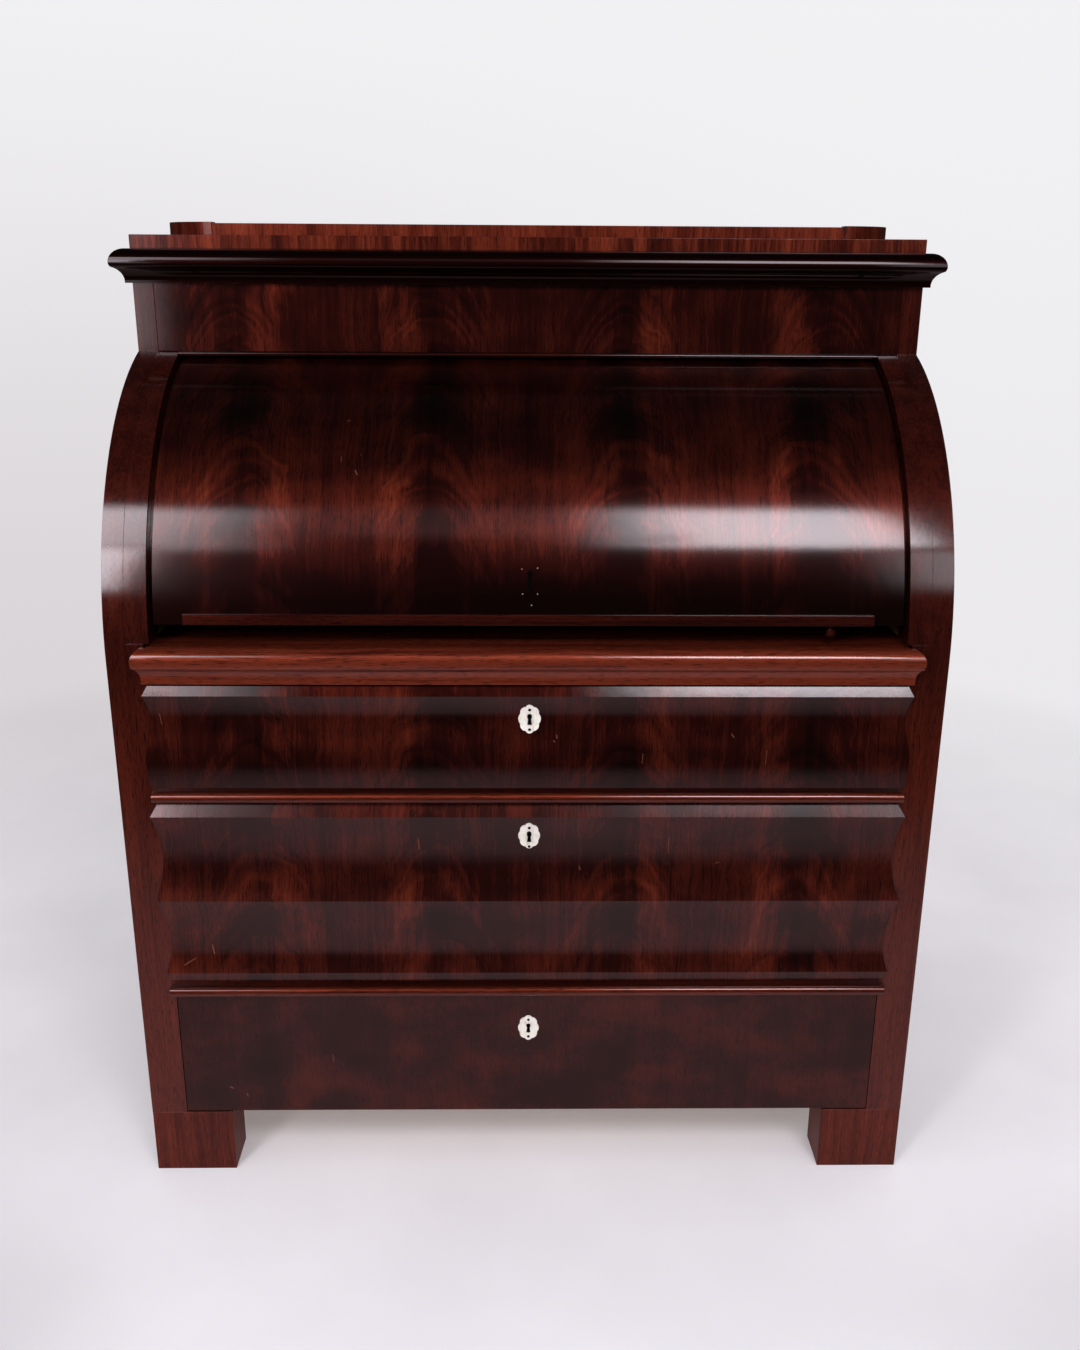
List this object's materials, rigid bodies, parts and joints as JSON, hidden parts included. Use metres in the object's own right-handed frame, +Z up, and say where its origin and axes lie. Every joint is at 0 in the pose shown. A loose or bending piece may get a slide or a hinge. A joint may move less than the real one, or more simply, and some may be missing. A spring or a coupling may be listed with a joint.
{
  "type": "cylinder desk",
  "caption": "Block-footed cylinder desk: a curved lid turns up into the case over a pull-out writing slide and long moulded drawers.",
  "frame": {"origin": "on the floor, under the middle of the desk's box", "axes": "+Z up, +X to the right seen from the front, +Y to the back"},
  "size_m": [1.0652, 0.6558, 1.2404],
  "materials": {
    "mahogany_veneer": "French-polished flame mahogany veneer, high gloss",
    "mahogany_solid": "polished mahogany, gloss",
    "pine": "bare pine, aged, matte",
    "bone": "polished bone",
    "iron": "dark iron, worn"
  },
  "bodies": {
    "case": {"back_boards": "pine", "bottom_board": "pine", "cornice_front": "mahogany_solid", "cornice_returns": "mahogany_solid", "crown_corners": "mahogany_solid", "crown_front": "mahogany_solid", "crown_sides": "mahogany_solid", "cylinder_guide_left": "mahogany_solid", "cylinder_guide_right": "mahogany_solid", "divider_bead_lower": "mahogany_solid", "divider_bead_upper": "mahogany_solid", "divider_rail_lower": "pine", "divider_rail_upper": "pine", "drawer_guides": "pine", "drawer_runners": "pine", "feet_rear": "mahogany_solid", "foot_front_left": "mahogany_solid", "foot_front_right": "mahogany_solid", "frieze_bead": "mahogany_solid", "frieze_board": "mahogany_veneer", "nest_back": "pine", "nest_frame": "mahogany_solid", "nest_partitions": "mahogany_solid", "side_panel_left": "mahogany_solid", "side_panel_right": "mahogany_solid", "slide_bearers": "pine", "slide_rail": "mahogany_solid", "stile_left": "mahogany_solid", "stile_right": "mahogany_solid", "top_board": "mahogany_solid"},
    "cylinder": {"cylinder_shell": "mahogany_veneer", "cylinder_lip": "mahogany_solid", "cylinder_button": "mahogany_solid", "cylinder_lock": "iron"},
    "writing_slide": {"slide_board": "mahogany_solid", "slide_nosing": "mahogany_solid"},
    "drawer_top": {"drawer_top_front": "mahogany_veneer", "drawer_top_sides": "pine", "drawer_top_back": "pine", "drawer_top_bottom": "pine", "drawer_top_escutcheon": "bone", "drawer_top_lock": "iron"},
    "drawer_middle": {"drawer_middle_front": "mahogany_veneer", "drawer_middle_sides": "pine", "drawer_middle_back": "pine", "drawer_middle_bottom": "pine", "drawer_middle_escutcheon": "bone", "drawer_middle_lock": "iron"},
    "drawer_bottom": {"drawer_bottom_front": "mahogany_veneer", "drawer_bottom_sides": "pine", "drawer_bottom_back": "pine", "drawer_bottom_bottom": "pine", "drawer_bottom_escutcheon": "bone", "drawer_bottom_lock": "iron"},
    "nest_drawer_left": {"nest_drawer_left": "mahogany_solid", "nest_knob_left": "bone"},
    "nest_drawer_right": {"nest_drawer_right": "mahogany_solid", "nest_knob_right": "bone"}
  },
  "joints": [
    {"name": "cylinder_turn", "type": "hinge", "parent": "case", "child": "cylinder", "pos_m": [0, 0.055, 0.732], "axis": [-1, 0, 0], "range_deg": [0, 58]},
    {"name": "slide_pull", "type": "slide", "parent": "case", "child": "writing_slide", "axis": [0, -1, 0], "range_m": [0, 0.24]},
    {"name": "drawer_top_pull", "type": "slide", "parent": "case", "child": "drawer_top", "axis": [0, -1, 0], "range_m": [0, 0.4]},
    {"name": "drawer_middle_pull", "type": "slide", "parent": "case", "child": "drawer_middle", "axis": [0, -1, 0], "range_m": [0, 0.4]},
    {"name": "drawer_bottom_pull", "type": "slide", "parent": "case", "child": "drawer_bottom", "axis": [0, -1, 0], "range_m": [0, 0.4]},
    {"name": "nest_drawer_left_pull", "type": "slide", "parent": "case", "child": "nest_drawer_left", "axis": [0, -1, 0], "range_m": [0, 0.14]},
    {"name": "nest_drawer_right_pull", "type": "slide", "parent": "case", "child": "nest_drawer_right", "axis": [0, -1, 0], "range_m": [0, 0.14]}
  ]
}
